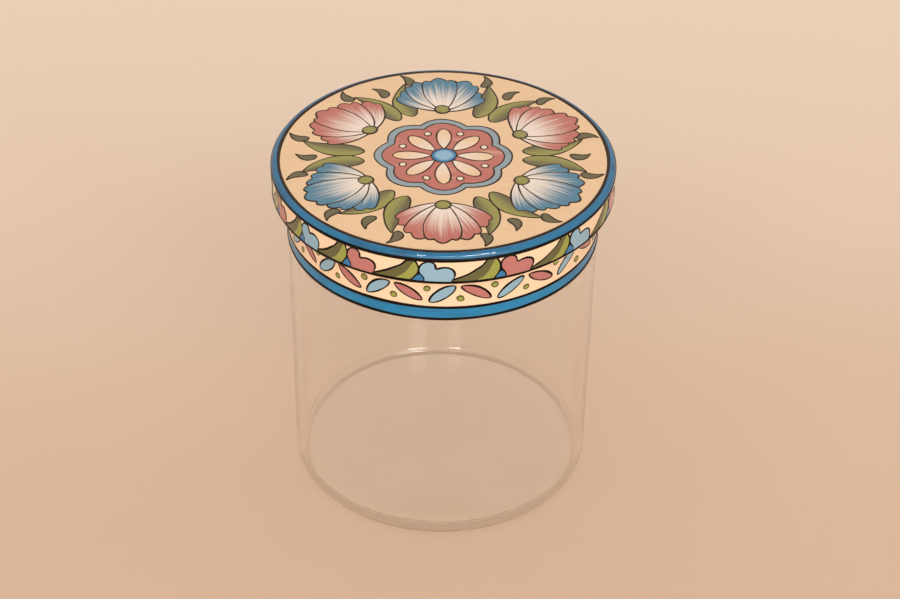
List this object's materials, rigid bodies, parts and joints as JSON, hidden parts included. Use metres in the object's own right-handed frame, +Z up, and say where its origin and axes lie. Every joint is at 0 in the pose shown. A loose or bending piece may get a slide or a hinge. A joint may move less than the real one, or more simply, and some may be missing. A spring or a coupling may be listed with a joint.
{
  "type": "glass jar",
  "caption": "Clear cylindrical glass storage jar with a painted mouth band and a flat, painted wooden lid that lifts off on a ribbed silicone seal.",
  "frame": {"origin": "centre of the jar's foot, on the surface that it stands on", "axes": "+Z up along the jar's axis of turning, -Y towards the viewer at the front, +X to the viewer's right"},
  "size_m": [0.104, 0.104, 0.112],
  "materials": {
    "clear_glass": "clear blown glass, fire polished",
    "cream_paint": "hand-painted cream ground under gloss varnish",
    "blue_paint": "hand-painted blue under gloss varnish",
    "pink_paint": "hand-painted dusty pink motifs under gloss varnish",
    "light_blue_paint": "hand-painted light blue motifs under gloss varnish",
    "olive_paint": "hand-painted olive and yellow-green leaves under gloss varnish",
    "outline_paint": "dark brown brush outlines and ring lines under gloss varnish",
    "lid_wood": "turned wood, bare",
    "silicone": "translucent white silicone"
  },
  "bodies": {
    "jar": {"glass_body": "clear_glass", "mouth_ground": "cream_paint", "mouth_stripe": "blue_paint"},
    "lid": {"lid_disc": "lid_wood", "lid_plug": "lid_wood", "seal_ring": "silicone", "lid_top_ground": "cream_paint", "lid_rim_stripe": "blue_paint", "lid_side_ground": "cream_paint"}
  },
  "joints": [
    {"name": "lid_lift", "type": "slide", "parent": "jar", "child": "lid", "axis": [0, 0, 1], "range_m": [0, 0.04]}
  ]
}
